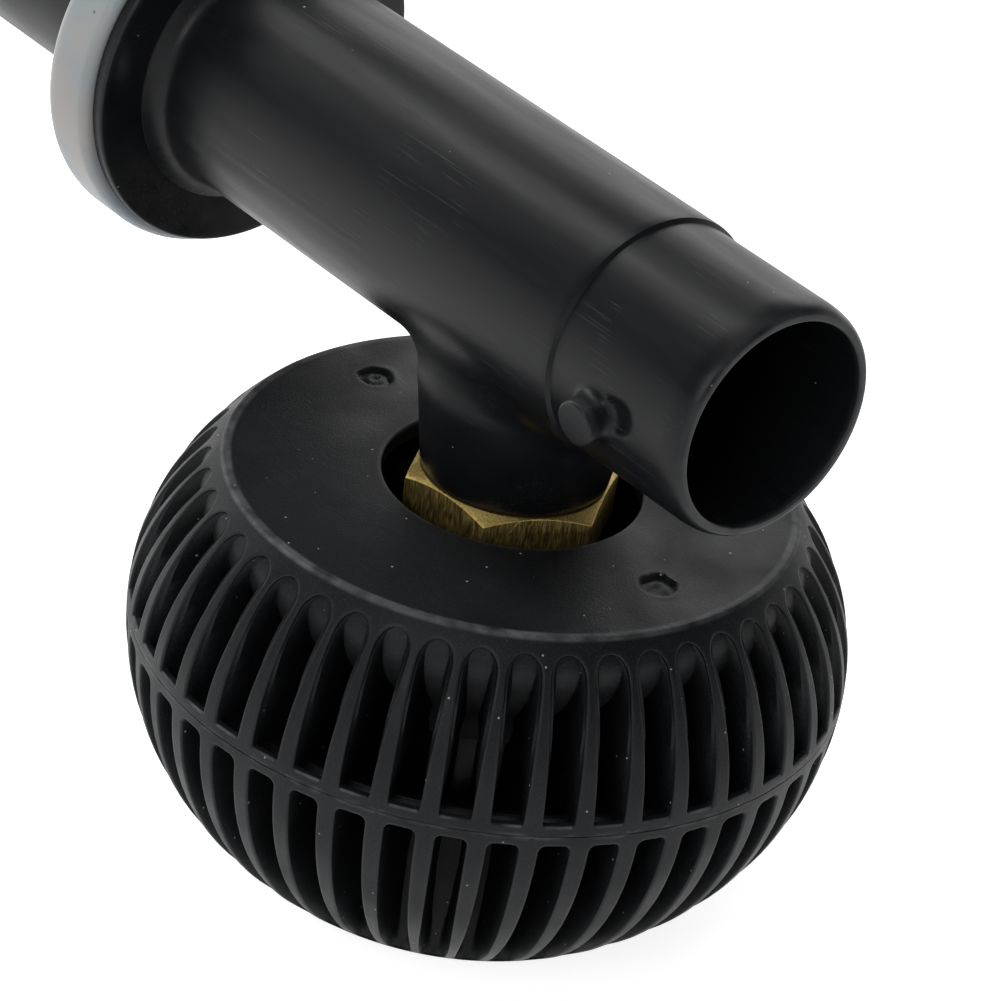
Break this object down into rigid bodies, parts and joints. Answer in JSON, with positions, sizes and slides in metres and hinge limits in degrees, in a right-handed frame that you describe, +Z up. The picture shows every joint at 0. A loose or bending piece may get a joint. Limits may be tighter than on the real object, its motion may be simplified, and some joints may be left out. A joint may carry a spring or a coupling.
{
  "type": "fountain submersible pump",
  "caption": "Submersible fountain pump in a round ribbed strainer cage, with a brass nipple and a flanged tee outlet tube on top.",
  "frame": {"origin": "centre of the cage's flat underside, on the axis of the cage and of the pump's rotor", "axes": "+Z up along the cage and rotor axis, +X along the outlet tube towards its open mouth"},
  "size_m": [0.1575, 0.096, 0.1177],
  "materials": {
    "strainer_plastic": "satin moulded",
    "pipe_plastic": "satin moulded",
    "silicone": "milky translucent",
    "brass": "machined",
    "rubber": "matte",
    "stainless_steel": "brushed",
    "casing_plastic": "satin moulded",
    "lamination_steel": "stacked sheet",
    "copper": "enamelled wire",
    "circuit_board": "solder mask",
    "chip_plastic": "matte",
    "ceramic": "ground",
    "graphite": "dull",
    "rotor_plastic": "glass filled",
    "ferrite": "dull"
  },
  "bodies": {
    "lower_cage": {"lower_strainer": "strainer_plastic"},
    "pump_unit": {"upper_strainer": "strainer_plastic", "tee_pipe": "pipe_plastic", "flange_gasket": "silicone", "brass_nipple": "brass", "nipple_seal": "rubber", "pump_bracket": "stainless_steel", "bracket_screws": "stainless_steel", "damping_washers": "rubber", "pump_casing": "casing_plastic", "inlet_cover": "casing_plastic", "cover_o_ring": "rubber", "cover_screws": "stainless_steel", "cable_gland": "rubber", "motor_shell": "casing_plastic", "shell_o_ring": "rubber", "stator_core": "lamination_steel", "stator_coils": "copper", "drive_board": "circuit_board", "board_chips": "chip_plastic", "isolation_can": "casing_plastic", "ceramic_shaft": "ceramic", "front_thrust_washer": "ceramic", "rear_thrust_washer": "ceramic"},
    "rotor": {"front_bearing": "graphite", "rear_bearing": "graphite", "rotor_hub": "rotor_plastic", "rotor_magnet": "ferrite", "impeller": "rotor_plastic"}
  },
  "joints": [
    {"name": "strainer_lift", "type": "slide", "parent": "lower_cage", "child": "pump_unit", "axis": [0, 0, 1], "range_m": [0, 0.06]},
    {"name": "rotor_spin", "type": "hinge", "parent": "pump_unit", "child": "rotor", "pos_m": [0, 0, 0.02], "axis": [0, 0, 1], "continuous": true}
  ]
}
